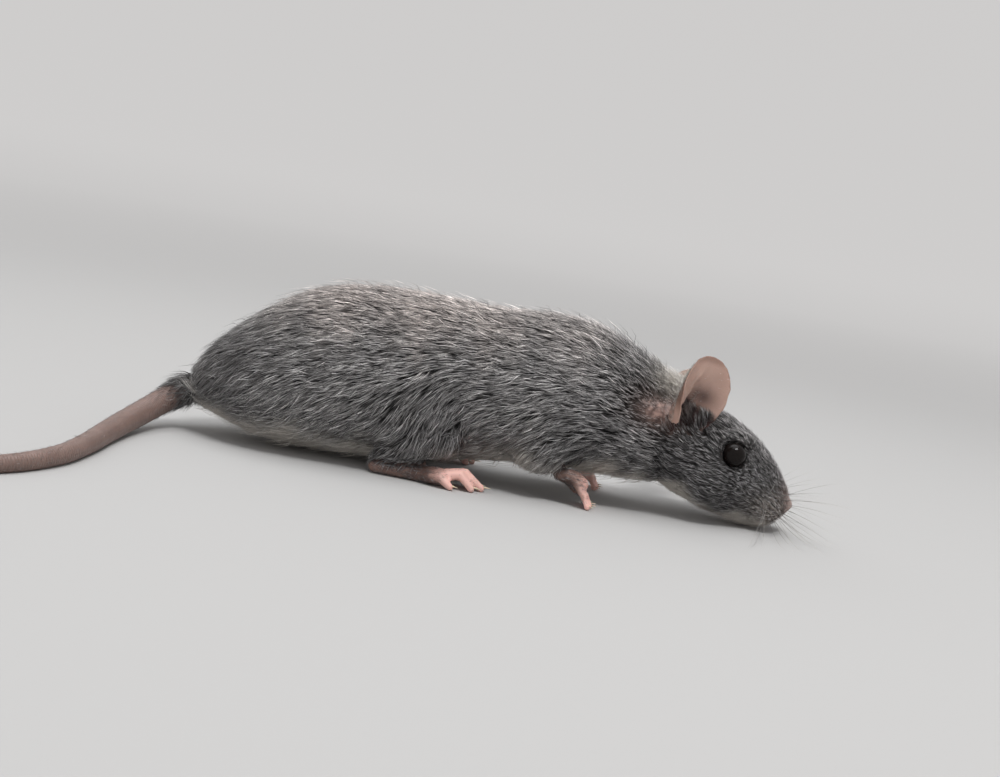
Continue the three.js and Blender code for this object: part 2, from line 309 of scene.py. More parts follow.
def makeSkin():
    skin = flowOutFlesh("skin")
    remesh = skin.modifiers.new("closeUp", "REMESH")
    remesh.mode = "VOXEL"
    remesh.voxel_size = skinPlan["voxel"] * mm
    applyModifiers(skin)
    mesh = skin.data
    pairs = edgePairs(mesh)
    weights = kindWeights(mesh, 6)
    print("skin closed up:", len(mesh.vertices), "points")

    # The furred parts are smoothed more than the bare ones.
    start = vertexArray(mesh)
    fine = spread(start.copy(), pairs, skinPlan["fineRounds"])
    soft = spread(fine.copy(), pairs, skinPlan["bodyRounds"])
    trunk, neck, leg, head = sharesOf(weights, "trunk", "neck", "leg", "head")
    furred = np.clip(trunk + neck + leg + 0.3 * head, 0, 1)[:, None]
    setVertexArray(mesh, fine * (1 - furred) + soft * furred)

    # Then the skin sinks by the depth of the coat.
    points = toPlan(vertexArray(mesh))
    normals = normalArray(mesh)
    earShare = shareOf(weights, "ear")
    depth = coatDepth(points, weights) + skinPlan["bridge"] * (1 - earShare) + 0.1 * earShare
    depth = spread(depth[:, None].copy(), pairs, 4)
    setVertexArray(mesh, fromPlan(points - normals * depth))

    keep = skin.vertex_groups.new(name="plain")
    plain = blendKinds(weights, skinPlan["thinning"])
    for step in range(11):
        chosen = np.flatnonzero(np.round(plain * 10).astype(int) == step)
        keep.add([int(index) for index in chosen], max(step / 10, 0.02), "REPLACE")
    thin = skin.modifiers.new("thin", "DECIMATE")
    thin.ratio = min(1.0, skinPlan["triangles"] / (2.0 * len(mesh.polygons)))
    thin.vertex_group = "plain"
    thin.vertex_group_factor = skinPlan["thinningFactor"]
    applyModifiers(skin)
    skin.vertex_groups.clear()
    print("skin thinned:", len(skin.data.polygons), "faces")
    return skin


# The eyelids, nostrils, mouth and ear hollows are shaped into the skin.
facePlan = {
    "lidOpening": 44.0,  # degrees from the eye's outward axis to the lid margin
    "cornerOpening": 12,  # degrees more at the corners of the eye
    "cornerLine": (0.86, 0.0, -0.5),
    "lidRise": 0.16,
    "lidWidth": 1.5,
    "eyeOutward": (0.18, -0.95, 0.22),
    "nosePad": ((46.1, 0.0, 4.1), (1.5, 1.3, 1.2)),  # centre and size
    "padRise": 0.22,
    "cleftDepth": 0.3,
    "cleftWidth": 0.22,
    "nostril": (46.0, 0.85, 3.55),
    "nostrilDepth": 0.55,
    "noseWing": (45.5, 1.25, 3.9),
}


def refineFace(mesh):
    bm = bmesh.new()
    bm.from_mesh(mesh)
    places = [(at(*eyeCentre(side)), (3.3, 2.5)) for side in sides.values()]
    places.append((at(45.6, 0, 3.6), (2.6, 1.7)))
    for level in range(2):
        close = [edge for edge in bm.edges
                 if any((edge.verts[0].co - place).length < reach[level] * mm for place, reach in places)]
        bmesh.ops.subdivide_edges(bm, edges=close, cuts=1, use_grid_fill=True)
        bmesh.ops.triangulate(bm, faces=[face for face in bm.faces if len(face.verts) > 3])
    bm.to_mesh(mesh)
    bm.free()
    mesh.shade_smooth()


def shapeLids(points, side):
    centre = eyeCentre(side)
    outward = unit(np.array(mirrored(facePlan["eyeOutward"], side)))
    radius = eyePlan["radius"]
    offset = points - centre
    distance = np.linalg.norm(offset, axis=1)
    away = unit(offset)
    turn = np.degrees(np.arccos(np.clip(away @ outward, -1, 1)))
    # The opening is an almond: wider along the line from the inner to the outer corner.
    cornerLine = np.array(facePlan["cornerLine"])
    along = unit(cornerLine - outward * (cornerLine @ outward))
    corner = np.abs(away @ along) / np.maximum(np.sin(np.radians(np.maximum(turn, 1))), 0.05)
    opening = facePlan["lidOpening"] + facePlan["cornerOpening"] * np.clip(corner, 0, 1) ** 3
    inside = 1 - smoothStep(-5, 2, turn - opening)
    near = 1 - smoothStep(radius + 0.5, radius + facePlan["lidWidth"], distance)
    near *= 1 - smoothStep(75, 105, turn)
    margin = np.exp(-((turn - opening - 7) / 7.0) ** 2)
    target = radius + 0.06 + facePlan["lidRise"] * margin
    target = target * (1 - inside) + (radius - 0.35) * inside
    outside = np.maximum(target, distance * 0.5 + target * 0.5)
    reach = distance + (np.where(inside > 0.02, target, outside) - distance) * near
    return centre + away * reach[:, None]


def shapeFace(mesh):
    points = toPlan(vertexArray(mesh))
    head = points[:, 0] > 24
    face = points[head]
    for side in sides.values():
        face = shapeLids(face, side)
    # Nose pad with a cleft, nostrils and the line of the mouth.
    pad = bump(face, *facePlan["nosePad"])
    face[:, 0] += facePlan["padRise"] * pad
    cleft = pad * np.exp(-(face[:, 1] / facePlan["cleftWidth"]) ** 2) * smoothStep(4.6, 3.4, face[:, 2])
    face[:, 0] -= facePlan["cleftDepth"] * cleft
    for side in sides.values():
        nostril = bump(face, mirrored(facePlan["nostril"], side), (0.6, 0.34, 0.3))
        face[:, 0] -= facePlan["nostrilDepth"] * nostril
        face[:, 1] -= side * 0.25 * nostril
        wing = bump(face, mirrored(facePlan["noseWing"], side), (0.7, 0.35, 0.5))
        face[:, 1] += side * 0.16 * wing
    share = np.clip((face[:, 0] - 40.2) / 4.8, 0, 1)
    line = 0.9 + 1.35 * share
    groove = np.exp(-((face[:, 2] - line) / 0.28) ** 2) * smoothStep(39.8, 41.5, face[:, 0])
    groove *= smoothStep(45.9, 45.0, face[:, 0])
    face[:, 1] *= 1 - 0.12 * groove
    face[:, 2] += 0.1 * groove
    points[head] = face
    setVertexArray(mesh, fromPlan(points))


earPlan = {
    "base": (25.9, -5.6, 12.4),
    "forward": {-1: 0.32, 1: 0.4},
    "outward": {-1: 0.3, 1: 0.74},
    # Where the free edge of the curled hind band runs: distance up the ear, and across it.
    "edgeUp": (1.5, 2.7, 6.3, 8.7, 12.5),
    "edgeAcross": (-2.9, -2.3, -1.6, -1.37, -0.2),
    "bandRise": 0.4,
    "canalDepth": 1.5,
}


def earFrame(side):
    forward, outward = earPlan["forward"][side], earPlan["outward"][side]
    up = np.array((forward, side * outward, math.sqrt(1 - forward ** 2 - outward ** 2)))
    facing = np.array((0.42, side * 0.9, 0.0))
    facing = unit(facing - up * (facing @ up))
    across = np.array((1.0, 0, 0)) - up * up[0]
    across = unit(across - facing * (across @ facing))
    return np.array(mirrored(earPlan["base"], side)), across, up, facing


def earPlaces(points, side):
    # Distance across and up the ear, and past the free edge of its hind band.
    base, across, up, _ = earFrame(side)
    offset = points - base
    u, v = offset @ across, offset @ up
    return u, v, u - np.interp(v, earPlan["edgeUp"], earPlan["edgeAcross"])


def earHair(points, normals, weights):
    # Dark tufts cover the front of each ear's root, pale down its back.
    front, back = np.zeros(len(points)), np.zeros(len(points))
    for side in sides.values():
        _, v, past = earPlaces(points, side)
        own = shareOf(weights, "ear") * (points[:, 1] * side > 0)
        turned = normals @ earFrame(side)[3]
        front += own * smoothStep(0.0, 0.9, past) * smoothStep(6.2, 4.6, v) * smoothStep(-0.3, 0.1, turned)
        back += own * smoothStep(0.1, -0.3, turned) * smoothStep(14.5, 9.5, v)
    return front, back


def shapeEars(mesh, weights):
    points = toPlan(vertexArray(mesh))
    share = smoothStep(0.15, 0.6, shareOf(weights, "ear"))
    for side in sides.values():
        _, v, past = earPlaces(points, side)
        own = share * (points[:, 1] * side > 0)
        facing = earFrame(side)[3]
        length = smoothStep(1.0, 2.6, v) * smoothStep(12.0, 9.0, v)
        band = smoothStep(0.12, -0.12, past) * np.exp(-(np.minimum(past, 0) / 1.6) ** 2)
        hollow = smoothStep(-0.12, 0.14, past) * np.exp(-np.maximum(past, 0) / 1.5)
        hollow *= smoothStep(10.5, 5.5, v)
        ridge = np.exp(-((past - 2.1) / 0.4) ** 2) * np.exp(-((v - 6.2) / 1.7) ** 2)
        rise = length * (earPlan["bandRise"] * band - earPlan["canalDepth"] * hollow) + 0.35 * ridge
        points += (own * rise)[:, None] * facing
    setVertexArray(mesh, fromPlan(points))


def tailRadius(share):
    return tailPlan["rootRadius"] + (tailPlan["tipRadius"] - tailPlan["rootRadius"]) * share ** 1.2


def tailCurve():
    # A smooth curve through the places, with its share from root to tip and its running length.
    places = tailPlan["places"]
    last = len(places) - 1
    line = [place if len(place) == 3 else (*place, tailRadius(index / last) - tailPlan["sunk"])
            for index, place in enumerate(places)]
    line = np.array([2 * np.array(line[0]) - line[1], *line, 2 * np.array(line[-1]) - line[-2]])
    t = np.arange(tailPlan["steps"])[:, None] / tailPlan["steps"]
    pieces = []
    for index in range(last):
        before, start, end, after = line[index:index + 4]
        square = (2 * before - 5 * start + 4 * end - after) * t ** 2
        cube = (3 * start - before - 3 * end + after) * t ** 3
        pieces.append(0.5 * (2 * start + (end - before) * t + square + cube))
    path = np.vstack(pieces + [line[-2:-1]])
    run = np.concatenate([[0], np.cumsum(np.linalg.norm(np.diff(path, axis=0), axis=1))])
    return path, np.linspace(0, 1, len(path)), run


tailPath, tailShare, tailRun = tailCurve()
print("tail length:", round(float(tailRun[-1]), 1), "mm")


def tailPlace(points):
    # Which step of the tail's curve is nearest to each point.
    nearest = np.zeros(len(points), dtype=int)
    for first in range(0, len(points), 4000):
        part = points[first:first + 4000]
        gaps = np.linalg.norm(part[:, None, :] - tailPath[None, :, :], axis=2)
        nearest[first:first + 4000] = np.argmin(gaps, axis=1)
    return nearest


def roundTail(mesh, weights):
    # Takes the flat sides off the tail: each ring of it becomes a true circle.
    points = toPlan(vertexArray(mesh))
    tail = shareOf(weights, "tail")
    members = np.flatnonzero(tail > 0.02)
    nearest = tailPlace(points[members])
    away = points[members] - tailPath[nearest]
    reach = np.linalg.norm(away, axis=1)
    run = tailRun[nearest]
    share = smoothStep(0.6, 1.0, tail[members]) * smoothStep(2.5, 5.0, run)
    share *= smoothStep(tailRun[-1], tailRun[-1] - 1.5, run)
    points[members] += unit(away) * ((tailRadius(tailShare[nearest]) - reach) * share)[:, None]
    points[:, 2] = np.maximum(points[:, 2], 0.0)
    setVertexArray(mesh, fromPlan(points))


skin = makeSkin()
roundTail(skin.data, kindWeights(skin.data, 3))
refineFace(skin.data)
shapeEars(skin.data, kindWeights(skin.data, 3))
shapeFace(skin.data)
print("face shaped:", len(skin.data.polygons), "faces in the skin")
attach(skin, "root")
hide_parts(*fleshNodes)


# The markings are the same on skin and coat.
def bodyEdges(points, weights):
    # Lowest and highest line of the trunk, neck and head along X.
    body = weights[:, :kindIndex["head"] + 1].sum(axis=1) > 0.6
    stations = np.arange(-46.0, 46.1, 2.0)
    low, high = [], []
    for station in stations:
        z = points[body & (np.abs(points[:, 0] - station) < 1.6), 2]
        low.append(z.min() if len(z) else 3.0)
        high.append(z.max() if len(z) else 6.0)
    return stations, np.array(low), np.array(high)


markPlan = {
    "creamEdge": (0.24, 0.15),  # how far up the side cream reaches at the rump and in front, as a share
    # how strongly each mark shows
    "chestCream": 1.3,
    "napeCream": 1.1,
    "earBackCream": 0.75,
    "padCream": 0.75,
    # the warm tint and painted top light on the crown
    "headTopLight": 0.28,
    "rumpDark": 0.62,
    "headDark": 0.85,
    "legDark": 0.6,
    "tailDark": 0.7,
    "sideDark": {"shoulder": 0.74, "flank": 0.7},
    "earFrontDark": 0.95,
    "foldBare": 1.25,
    "noseBare": 1.1,
    "padBare": 0.35,
}


def coatMarks(points, normals, weights, edges):
    # Shares from 0 to 1: cream hair, a warm brownish tint that is paler towards the top of the back and crown
    # as painted top light, dark hair, bare pink skin.
    stations, low, high = edges
    x, y, z = points.T
    rise = (z - np.interp(x, stations, low)) / (np.interp(x, stations, high) - np.interp(x, stations, low))
    wave = 0.05 * np.sin(x * 0.55 + 1.3) + 0.04 * np.sin(x * 1.3 + y * 0.4)
    trunk, neck, head, leg, foot, tail = sharesOf(weights, "trunk", "neck", "head", "leg", "foot", "tail")
    body = trunk + neck + head
    edge = np.interp(x, (-20, -6), markPlan["creamEdge"])
    cream = body * (1 - smoothStep(0.03, edge, rise + wave * 0.7)) * smoothStep(-47, -40, x)
    # The warm mark is a brownish tint over the back and crown, made paler towards the top as painted top
    # light.
    warmTopLight = body * smoothStep(0.6, 0.98, rise + wave) * smoothStep(-38, -24, x) * (1 - smoothStep(14, 24, x))
    warmTopLight *= 1 - 0.5 * smoothStep(-6, 8, x)
    warmTopLight = np.maximum(warmTopLight, markPlan["headTopLight"] * head * smoothStep(0.55, 0.9, rise))
    rump = np.exp(-((x + 38.5) / 8.0) ** 2) * smoothStep(0.06, 0.2, rise) * (1 - smoothStep(0.75, 1.0, rise))
    dark = markPlan["headDark"] * (head + 0.5 * neck) * (1 - warmTopLight) * (1 - cream)
    dark = np.maximum(dark, markPlan["rumpDark"] * body * rump)
    dark = np.maximum(dark, markPlan["legDark"] * leg + foot + markPlan["tailDark"] * tail)
    cream = np.maximum(cream, markPlan["napeCream"] * napePatch(points))
    for side in sides.values():
        chest = (body + leg) * patchOn(points, "chest", side)
        cream = np.maximum(cream, markPlan["chestCream"] * chest)
        for place, strength in markPlan["sideDark"].items():
            dark = np.maximum(dark, strength * body * patchOn(points, place, side))
    dark = np.maximum(dark, aroundEyes(points, 3.1))
    front, back = earHair(points, normals, weights)
    cream = np.clip(np.maximum(cream, markPlan["earBackCream"] * back), 0, 1)
    dark = np.maximum(dark, markPlan["earFrontDark"] * front)
    bare = np.clip(markPlan["foldBare"] * earRoot(points), 0, 1)
    nose = bump(points, *placePlan["noseSkin"])
    # Rows of whisker roots mottle the whisker pads.
    spots = 0.5 + 0.5 * np.sin(x * 5.6 + z * 1.9) * np.sin(z * 5.3 - x * 1.3)
    pad = bump(points * (1, 0, 1), *placePlan["whiskerPad"]) * head
    between = pad * smoothStep(0.85, 0.15, spots)
    cream = np.clip(np.maximum(cream, markPlan["padCream"] * between), 0, 1)
    dark = np.clip(np.maximum(dark, pad * spots), 0, 1)
    bare += markPlan["noseBare"] * nose + markPlan["padBare"] * pad * (1 - spots)
    bare = np.clip(bare, 0, 1)
    return cream, warmTopLight, dark * (1 - nose), bare


skinPairs = edgePairs(skin.data)
skinPoints = toPlan(vertexArray(skin.data))
skinNormals = normalArray(skin.data)
skinWeights = kindWeights(skin.data, 5)
bodyLines = bodyEdges(skinPoints, skinWeights)
skinMarks = np.column_stack(coatMarks(skinPoints, skinNormals, skinWeights, bodyLines))


def markSkin(mesh):
    addColour(mesh, "marks", skinMarks.T)
    ear, foot, tail = sharesOf(skinWeights, "ear", "foot", "tail")
    addColour(mesh, "parts", (ear, foot, tail, bump(skinPoints, *placePlan["noseTip"])))
    hollow, rim = np.zeros(len(skinPoints)), np.zeros(len(skinPoints))
    for side in sides.values():
        u, v, past = earPlaces(skinPoints, side)
        turned = skinNormals @ earFrame(side)[3]
        both = (ear > 0.2) * (skinPoints[:, 1] * side > 0)
        own = both * (turned > -0.1)
        # Painted shade in the ear's canal and in the bowl of the concha.
        canalShade = smoothStep(-0.1, 0.15, past) * smoothStep(7.2, 5.6, v + 0.42 * past)
        canalShade *= smoothStep(3.4, 2.4, past)
        bowlShade = 0.85 * np.exp(-((u - 0.9) / 1.9) ** 2 - ((v - 7.3) / 1.5) ** 2)
        hollow += own * np.clip(canalShade + bowlShade, 0, 1)
        rim += both * smoothStep(0.75, 0.3, np.abs(turned)) * smoothStep(4.5, 7.0, v)
        rim += 0.8 * own * smoothStep(11.9, 13.2, np.hypot(u * 0.9, v))
    front, back = earHair(skinPoints, skinNormals, skinWeights)
    # The skin under the dark tufts at the front of the ear root gets the same painted shade.
    hollow += front
    addColour(mesh, "details", (np.clip(hollow, 0, 1), np.clip(rim, 0, 1), toeShare(skinPoints),
                                np.clip(back, 0, 1)))
    run = np.zeros(len(skinPoints))
    onTail = tail > 0.01
    run[onTail] = tailRun[tailPlace(skinPoints[onTail])]
    run = spread(run[:, None] * 1.0, skinPairs, 2)[:, 0]
    field = mesh.attributes.new("tailRun", "FLOAT", "POINT")
    field.data.foreach_set("value", run.astype(np.float32))


def unwrapSkin(piece):
    layer = piece.data.uv_layers.new(name="OFBake")
    layer.active = True
    bpy.context.view_layer.objects.active = piece
    piece.select_set(True)
    bpy.ops.object.mode_set(mode="EDIT")
    bpy.ops.mesh.select_all(action="SELECT")
    bpy.ops.uv.smart_project(angle_limit=math.radians(70), island_margin=0.002)
    bpy.ops.object.mode_set(mode="OBJECT")
    piece.select_set(False)


markSkin(skin.data)
unwrapSkin(skin)
print("skin marked and unwrapped")


# The coat is made of thin closed tufts that lie along the body.
furPlan = {
    # tufts per square millimetre, and their size in mm, for each kind of skin
    "density": {"trunk": 37.0, "neck": 42.0, "head": 56.0, "ear": 6.0, "leg": 42.0, "foot": 30.0,
                "tail": 5.0},
    "length": {"trunk": 3.7, "neck": 3.5, "head": 1.8, "ear": 0.4, "leg": 1.9, "foot": 0.9, "tail": 1.0},
    "width": {"trunk": 0.115, "neck": 0.115, "head": 0.088, "ear": 0.03, "leg": 0.1, "foot": 0.05,
              "tail": 0.045},
    "height": {"trunk": 1.2, "neck": 1.3, "head": 0.55, "ear": 0.1, "leg": 0.6, "foot": 0.2, "tail": 0.17},
    # tufts per square millimetre added at the ears, and round the root of the tail with their reach
    "earTuftDensity": 60,
    "earBackDensity": 40,
    "tailFringe": {"tail": (45, 4.2), "trunk": (30, (3, 3.2, 3.2))},
    # share of its tufts that the skin gains or loses
    "toeDensity": -0.9,
    "bareDensity": -0.93,
    "noseDensity": 0.9,
    # share of its length, height and width that the hair gains or loses at each place
    "changes": {"nose": (-0.4, -0.42, -0.3), "eyes": (-0.55, -0.55, 0), "earFront": (-0.15, -0.1, 0),
                "earFold": (-0.72, -0.7, 0), "tailRoot": (2.0, 0, 1.2), "toes": (-0.5, 0, 0)},
    # and the mm added to them
    "additions": {"napePatch": (1.4, 0, 0), "earTuft": (2.0, 0.7, 0.05), "earBack": (0.9, 0.25, 0.02),
                  "chin": (0.7, 0, 0), "tailRoot": (0, 0.3, 0)},
    "napeRise": 2.3,  # mm that hair behind the ears and under the chin stands up at most
    "chinRise": 0.5,
    "guardShare": 0.34,  # pale-tipped hair that lies over the shorter, darker underfur
    "guardTone": 0.64,
    "underTone": 0.3,
    "guardSize": (1.0, 1.12, 0.95),
    "underSize": (0.85, 0.76, 1.1),
    "clumpSpacing": {"body": 0.62, "head": 0.36},
    "clumpPull": 0.55,
    "eyeParting": 0.8,
    "earTuftRise": 1.4,
    "rumpClosing": 1.4,
    # how the hair turns at some places
    "bends": {"knee": (0.55, 0, -1.15), "elbow": (0.15, 0, -0.6), "belowThigh": (-0.1, 0, -0.35)},
    "freeReach": 1.3,  # a tip further than this from the skin keeps a part of the distance
    "overhang": 0.45,
    "sink": 0.12,
    "eyeMargin": 0.12,
    "overGround": 0.08,
    "quickShare": 0.45,
    "seed": 7,
}


def flowField(points, normals, weights):
    x, y, z = points.T
    slope = np.gradient(spineLine[:, 1], spineLine[:, 0])
    lean = np.arctan(np.interp(x, spineLine[:, 0], slope))
    flow = np.column_stack([-np.cos(lean), np.zeros(len(x)), -np.sin(lean)])
    sideways = 1 - np.abs(normals[:, 2])
    fall = 0.25 + 0.35 * smoothStep(16, 5, z)
    fall *= smoothStep(22, 8, x) * (0.35 + 0.65 * smoothStep(-46, -30, x))
    flow[:, 2] -= fall * sideways
    for side in sides.values():
        # The hair turns down over the knee and fans out behind it, and swings down over the elbow.
        for place, bend in furPlan["bends"].items():
            flow += patchOn(points, place, side)[:, None] * np.array(bend)
        # Round the eye and the root of the ear it parts.
        around = points - eyeCentre(side)
        near = np.exp(-(np.linalg.norm(around, axis=1) / 2.9) ** 2)
        flow += unit(around) * (furPlan["eyeParting"] * near)[:, None]
    front = earHair(points, normals, weights)[0]
    flow[:, 2] += furPlan["earTuftRise"] * front
    # On the rump it closes in over the root of the tail.
    rootShare = bump(points, tailPlan["places"][0], 4.5)
    flow += furPlan["rumpClosing"] * rootShare[:, None] * unit(tailPath[60] - tailPath[0])
    foot = shareOf(weights, "foot")[:, None]
    flow = flow * (1 - foot) + foot * np.array((0.9, 0, -0.25))
    # On the tail it follows the curve, from four steps before each place to four behind it.
    onTail = np.flatnonzero(shareOf(weights, "tail") > 0.3)
    nearest = tailPlace(points[onTail])
    ahead = tailPath[np.minimum(nearest + 4, len(tailPath) - 1)]
    flow[onTail] = unit(ahead - tailPath[np.maximum(nearest - 4, 0)])
    # Slow waves tousle it.
    wave = 0.16 * np.sin(0.9 * x + 0.6 * y + 1.1) * np.sin(0.7 * z - 0.5 * x + 0.4)
    wave += 0.1 * np.sin(2.3 * x - 1.2 * z + 2.0) * np.sin(1.9 * z + 1.7 * y)
    flow = flow - normals * np.sum(flow * normals, axis=1)[:, None]
    flow = unit(flow)
    return unit(flow + np.cross(normals, flow) * wave[:, None])


def triangleArray(mesh):
    mesh.calc_loop_triangles()
    corners = np.empty(len(mesh.loop_triangles) * 3, dtype=np.int32)
    loops = np.empty(len(mesh.loop_triangles) * 3, dtype=np.int32)
    mesh.loop_triangles.foreach_get("vertices", corners)
    mesh.loop_triangles.foreach_get("loops", loops)
    return corners.reshape(-1, 3), loops.reshape(-1, 3)


def placeShares(points, normals, weights):
    # Where the hair differs from that of its kind of skin, from 0 to 1.
    trunk, neck, head, foot, tail = sharesOf(weights, "trunk", "neck", "head", "foot", "tail")
    fold = np.clip(1.3 * earRoot(points, 1.5), 0, 1)
    front, back = earHair(points, normals, weights)
    chin = head * smoothStep(3.2, 1.3, points[:, 2]) * smoothStep(45.5, 43.5, points[:, 0])
    return {
        "nose": head * noseShare(points), "eyes": aroundEyes(points, 3.0), "chin": chin,
        "earFront": np.maximum(*(patchOn(points, "earFront", side) for side in sides.values())),
        "earFold": fold, "earTuft": front, "earBack": back,
        "nape": bump(points, *placePlan["nape"]) * (trunk + neck),
        "napePatch": np.clip(napePatch(points), 0, 1) * (1 - fold),
        "toes": foot * toeShare(points),
        "tailRoot": tail * bump(points, tailPlan["places"][0], (6, 5, 5)),
    }


def scatterRoots(rng):
    corners, loops = triangleArray(skin.data)
    uvs = np.empty(len(skin.data.loops) * 2, dtype=np.float32)
    skin.data.uv_layers["OFBake"].data.foreach_get("uv", uvs)
    uvs = uvs.reshape(-1, 2)
    a, b, c = (skinPoints[corners[:, k]] for k in range(3))
    area = 0.5 * np.linalg.norm(np.cross(b - a, c - a), axis=1)
    density = blendKinds(skinWeights, furPlan["density"])
    for kind, (extra, size) in furPlan["tailFringe"].items():
        density += extra * shareOf(skinWeights, kind) * bump(skinPoints, tailPlan["places"][0], size)
    shares = placeShares(skinPoints, skinNormals, skinWeights)
    density *= 1 + furPlan["toeDensity"] * shares["toes"]
    density += furPlan["earTuftDensity"] * shares["earTuft"] + furPlan["earBackDensity"] * shares["earBack"]
    density *= 1 + furPlan["bareDensity"] * skinMarks[:, 3]
    density *= 1 + furPlan["noseDensity"] * shares["nose"]
    expected = area * density[corners].mean(axis=1)
    count = np.floor(expected + rng.random(len(expected))).astype(int)
    chosen = np.repeat(np.arange(len(corners)), count)
    r1, r2 = np.sqrt(rng.random(len(chosen))), rng.random(len(chosen))
    inside = np.column_stack([1 - r1, r1 * (1 - r2), r1 * r2])

    def blendOf(values):
        return np.einsum("ij,ijk->ik", inside, values)

    uvRoot = blendOf(uvs[loops[chosen]].astype(np.float64))
    picked = corners[chosen]
    places, weights = blendOf(skinPoints[picked]), blendOf(skinWeights[picked])
    normals = unit(blendOf(skinNormals[picked]))
    marks = np.column_stack(coatMarks(places, normals, weights, bodyLines))
    return places, normals, weights, marks, uvRoot


def clumpCentres(points, spacing, rng):
    # One root in each cell of a loose grid leads its clump.
    cells = np.floor(points / spacing + rng.random(3)).astype(np.int64)
    keys = (cells[:, 0] * 73856093) ^ (cells[:, 1] * 19349663) ^ (cells[:, 2] * 83492791)
    _, leaders = np.unique(keys, return_index=True)
    return leaders


def clumpOf(points, leaders):
    tree = KDTree(len(leaders))
    for index, leader in enumerate(leaders):
        tree.insert(points[leader], index)
    tree.balance()
    return np.array([tree.find(point)[1] for point in points])


def tuftSizes(weights, shares, rng):
    # Length, height over the skin and width of each tuft, and whether it is guard hair.
    count = len(weights)
    sizes = np.column_stack([blendKinds(weights, furPlan[size]) for size in ("length", "height", "width")])
    for place, change in furPlan["changes"].items():
        sizes *= 1 + shares[place][:, None] * change
    for place, addition in furPlan["additions"].items():
        sizes += shares[place][:, None] * addition
    length, height, width = sizes.T
    height += furPlan["napeRise"] * shares["napePatch"] * rng.random(count) ** 0.6
    height += furPlan["chinRise"] * shares["chin"] * rng.random(count)
    guard = rng.random(count) < furPlan["guardShare"]
    sizes *= np.where(guard[:, None], furPlan["guardSize"], furPlan["underSize"])
    # Tufts stand up on the nape and shoulders, and a few stray hairs break the outline.
    height *= 1 + 0.55 * shares["nape"] * rng.random(count) ** 1.5
    length *= 0.78 + 0.44 * rng.random(count)
    height *= 0.72 + 0.5 * rng.random(count)
    height *= 1 + 0.7 * (rng.random(count) < 0.1) * rng.random(count)
    width *= 0.75 + 0.5 * rng.random(count)
    return length, height, width, guard


def clumpTufts(roots, weights, shares, guard, rng):
    # Each tuft leans towards the leader of its clump, and each clump has a tone and a small turn of its own.
    count = len(roots)
    trunk, neck, head, leg = sharesOf(weights, "trunk", "neck", "head", "leg")
    tone = np.where(guard, furPlan["guardTone"], furPlan["underTone"])
    tone = tone + rng.normal(0, 0.13, count) * np.where(guard, 1.0, 0.6) * (1 + 0.35 * head)
    tone += rng.normal(0, 0.12, count) * shares["nose"] - 0.1 * shares["earTuft"]
    turn = rng.normal(0, 0.1, count) * (1 + shares["nape"])
    pull = np.zeros((count, 3))
    spacings = furPlan["clumpSpacing"]
    for group, spacing in ((head <= 0.5, spacings["body"]), (head > 0.5, spacings["head"])):
        members = np.flatnonzero(group)
        leaders = clumpCentres(roots[members], spacing, rng)
        own = clumpOf(roots[members], leaders)
        clumpTurn = rng.normal(0, 0.13, len(leaders))
        clumpTone = rng.normal(0, 1, len(leaders))
        turn[members] += clumpTurn[own]
        tone[members] += 0.06 * clumpTone[own]
        pull[members] = roots[members[leaders[own]]] - roots[members]
    pull *= (furPlan["clumpPull"] * (trunk + neck + head + leg))[:, None]
    return np.clip(tone, 0, 1), turn[:, None], pull


def skinTree():
    return BVHTree.FromPolygons([Vector(point) for point in skinPoints], triangleArray(skin.data)[0].tolist())


def layCoat():
    rng = np.random.default_rng(furPlan["seed"])
    scattered = scatterRoots(rng)
    keep = bump(scattered[0], *placePlan["hairlessNose"]) < 0.5
    for side in sides.values():
        toEye = np.linalg.norm(scattered[0] - eyeCentre(side), axis=1)
        keep &= toEye > eyePlan["radius"] + furPlan["eyeMargin"]
    roots, normals, weights, marks, uvRoot = (values[keep] for values in scattered)
    print("tufts:", len(roots))

    flow = flowField(roots, normals, weights)
    shares = placeShares(roots, normals, weights)
    length, height, width, guard = tuftSizes(weights, shares, rng)
    tone, turn, pull = clumpTufts(roots, weights, shares, guard, rng)
    flow = unit(flow * np.cos(turn) + np.cross(normals, flow) * np.sin(turn))
    tips = roots + flow * length[:, None] + pull

    # The tip lies at its height over the skin beneath it, so the coat follows the form.
    tree = skinTree()
    for index, point in enumerate(tips):
        place, normal, _, gap = tree.find_nearest(Vector(point))
        lift = height[index] + furPlan["overhang"] * max(gap - furPlan["freeReach"], 0.0)
        tips[index] = np.array(place) + np.array(normal) * lift
    tips[:, 2] = np.maximum(tips[:, 2], furPlan["overGround"])
    return {
        "roots": roots - normals * furPlan["sink"], "normals": normals, "tips": tips,
        "bends": roots + normals * (0.82 * height)[:, None] + (tips - roots) * 0.36,
        "width": width, "weights": weights, "marks": marks, "uv": uvRoot, "tone": tone, "guard": guard,
    }


